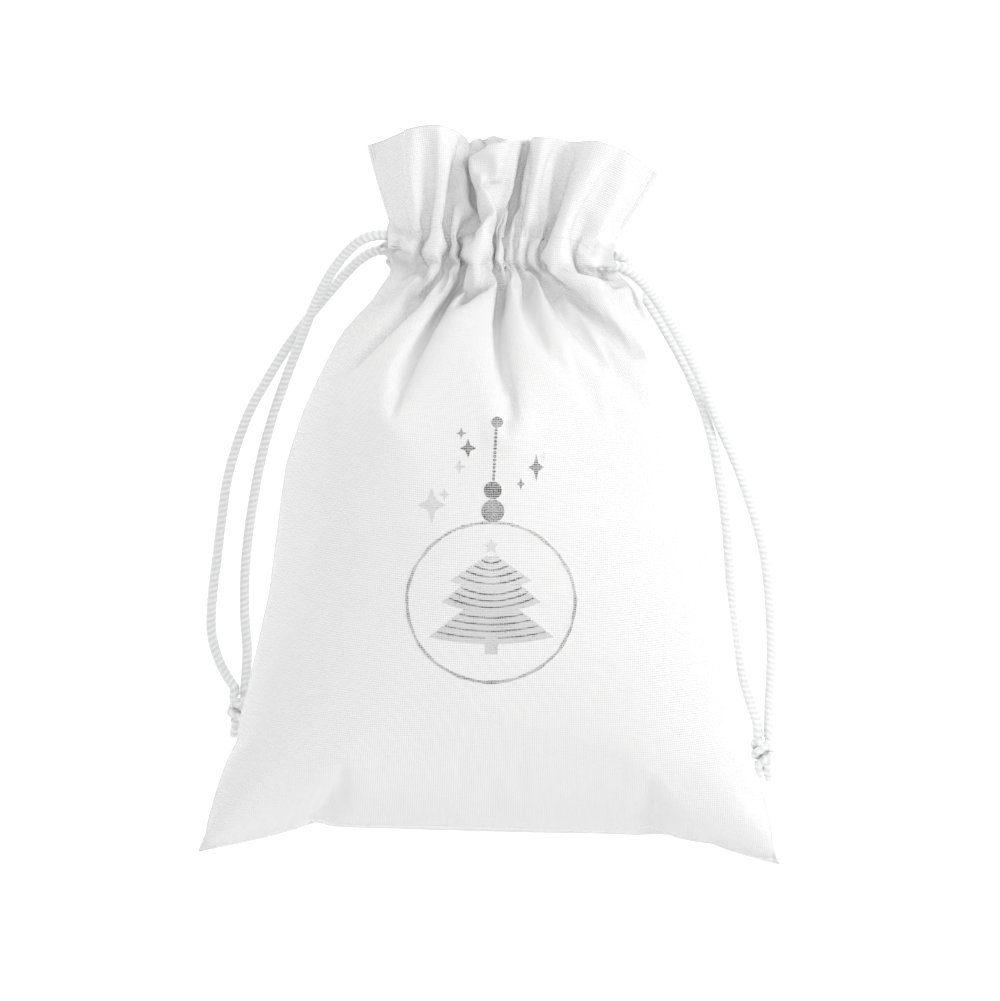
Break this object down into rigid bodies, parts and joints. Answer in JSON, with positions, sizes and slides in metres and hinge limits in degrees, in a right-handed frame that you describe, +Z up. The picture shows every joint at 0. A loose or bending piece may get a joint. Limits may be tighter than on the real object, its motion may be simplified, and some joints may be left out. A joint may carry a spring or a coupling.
{
  "type": "drawstring gift pouch",
  "caption": "Small white cotton drawstring gift pouch, stuffed and drawn shut, with satin cords knotted at both sides and a silver foil bauble print.",
  "frame": {"origin": "middle of the pouch's outline on the surface that it rests on, measured without the cords", "axes": "+X right, +Y from the bottom to the mouth, +Z up from the surface, out of the printed front"},
  "size_m": [0.1474, 0.185, 0.0567],
  "materials": {
    "cotton": "plain-woven bleached cotton, matt, with a weave of about 0.4 mm",
    "cotton_facing": "the same cotton turned to the inside of the mouth, matt",
    "seam_cloth": "the same cotton, pressed double at the sewn edge",
    "thread": "white sewing thread",
    "satin_cord": "braided satin cord with a soft sheen",
    "silver_foil": "thin silver transfer foil broken up by the weave"
  },
  "bodies": {
    "root": {"front_panel": "cotton", "back_panel": "cotton", "front_facing": "cotton_facing", "back_facing": "cotton_facing", "left_side_seam": "seam_cloth", "right_side_seam": "seam_cloth", "bottom_seam": "seam_cloth", "left_header_seam": "seam_cloth", "right_header_seam": "seam_cloth", "front_upper_stitching": "thread", "front_lower_stitching": "thread", "back_upper_stitching": "thread", "back_lower_stitching": "thread", "left_cord_run": "satin_cord", "right_cord_run": "satin_cord", "foil_ring": "silver_foil", "foil_cap": "silver_foil", "foil_chain": "silver_foil", "foil_tree": "silver_foil", "foil_sparkles": "silver_foil"},
    "left_pull": {"left_front_lead": "satin_cord", "left_back_lead": "satin_cord"},
    "left_swing": {"left_front_strand": "satin_cord", "left_back_strand": "satin_cord", "left_knot": "satin_cord", "left_front_tail": "satin_cord", "left_back_tail": "satin_cord"},
    "right_pull": {"right_front_lead": "satin_cord", "right_back_lead": "satin_cord"},
    "right_swing": {"right_front_strand": "satin_cord", "right_back_strand": "satin_cord", "right_knot": "satin_cord", "right_front_tail": "satin_cord", "right_back_tail": "satin_cord"}
  },
  "joints": [
    {"name": "left_cord_pull", "type": "slide", "parent": "root", "child": "left_pull", "axis": [-0.9966, 0.0819, 0], "range_m": [0, 0.018]},
    {"name": "left_cord_swing", "type": "hinge", "parent": "left_pull", "child": "left_swing", "pos_m": [-0.02396, 0.0671, 0.022], "axis": [0, 0, -1], "range_deg": [0, 50]},
    {"name": "right_cord_pull", "type": "slide", "parent": "root", "child": "right_pull", "axis": [0.9966, -0.0819, 0], "range_m": [0, 0.018]},
    {"name": "right_cord_swing", "type": "hinge", "parent": "right_pull", "child": "right_swing", "pos_m": [0.02986, 0.06268, 0.022], "axis": [0, 0, 1], "range_deg": [0, 50]}
  ]
}
